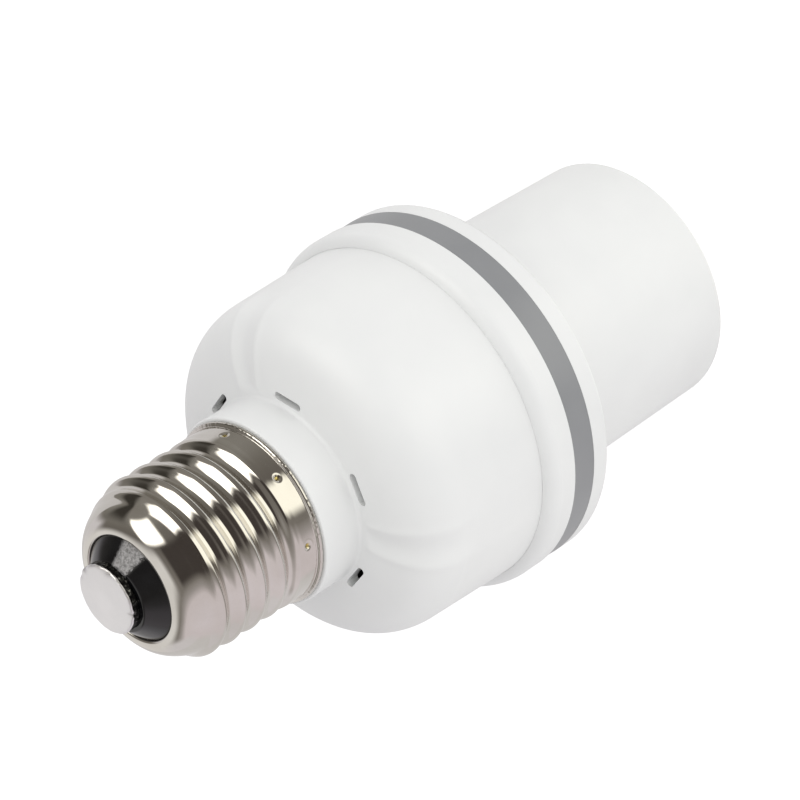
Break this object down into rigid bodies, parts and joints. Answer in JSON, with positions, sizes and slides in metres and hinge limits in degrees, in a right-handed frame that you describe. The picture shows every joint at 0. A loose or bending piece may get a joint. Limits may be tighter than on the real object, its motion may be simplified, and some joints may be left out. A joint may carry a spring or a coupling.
{
  "type": "photocell lamp holder",
  "caption": "Screw-in lamp holder with a built-in daylight sensor: screw cap above, lobed vented dome, grey sensor window round its widest part and a tubular screw socket for a lamp below.",
  "frame": {"origin": "centre of the rim of the lamp socket's mouth, on which the holder stands", "axes": "+Z along the common axis, from the socket mouth up to the contact of the screw cap; +Y points through one of the valleys between the dome's lobes; +X completes a right-handed frame"},
  "size_m": [0.0552, 0.0552, 0.104],
  "materials": {
    "contact_metal": "satin tinned contact, slightly worn",
    "black_insulator": "glossy black vitreous insulator",
    "nickel_sheet": "bright nickel-plated rolled sheet",
    "white_housing": "white satin moulded plastic",
    "grey_window": "grey tinted translucent plastic, satin",
    "socket_brass": "rolled brass sheet",
    "rivet_metal": "tubular brass rivets",
    "tinned_metal": "tinned sheet",
    "board_laminate": "bare phenolic board",
    "screw_steel": "zinc-plated steel",
    "photocell_face": "clear-coated sensor disc",
    "film_box": "moulded epoxy box",
    "can_sleeve": "shrunk plastic sleeve",
    "black_epoxy": "moulded epoxy",
    "resistor_coat": "lacquered body",
    "brown_wire": "insulated wire",
    "blue_wire": "insulated wire"
  },
  "bodies": {
    "root": {"contact_button": "contact_metal", "cap_insulator": "black_insulator", "screw_shell": "nickel_sheet", "dome_housing": "white_housing", "middle_ring": "white_housing", "sensor_window": "grey_window", "socket_cover": "white_housing", "lamp_sleeve": "socket_brass", "centre_tongue": "socket_brass", "contact_rivets": "rivet_metal", "solder_tags": "tinned_metal", "circuit_board": "board_laminate", "board_screws": "screw_steel", "photocell": "photocell_face", "film_capacitor": "film_box", "electrolytic_capacitor": "can_sleeve", "rectifier_diodes": "black_epoxy", "resistors": "resistor_coat", "lamp_switch": "black_epoxy", "driver_transistor": "black_epoxy", "live_lead": "brown_wire", "shell_lead": "blue_wire", "lamp_live_lead": "brown_wire", "lamp_return_lead": "blue_wire"}
  },
  "joints": []
}
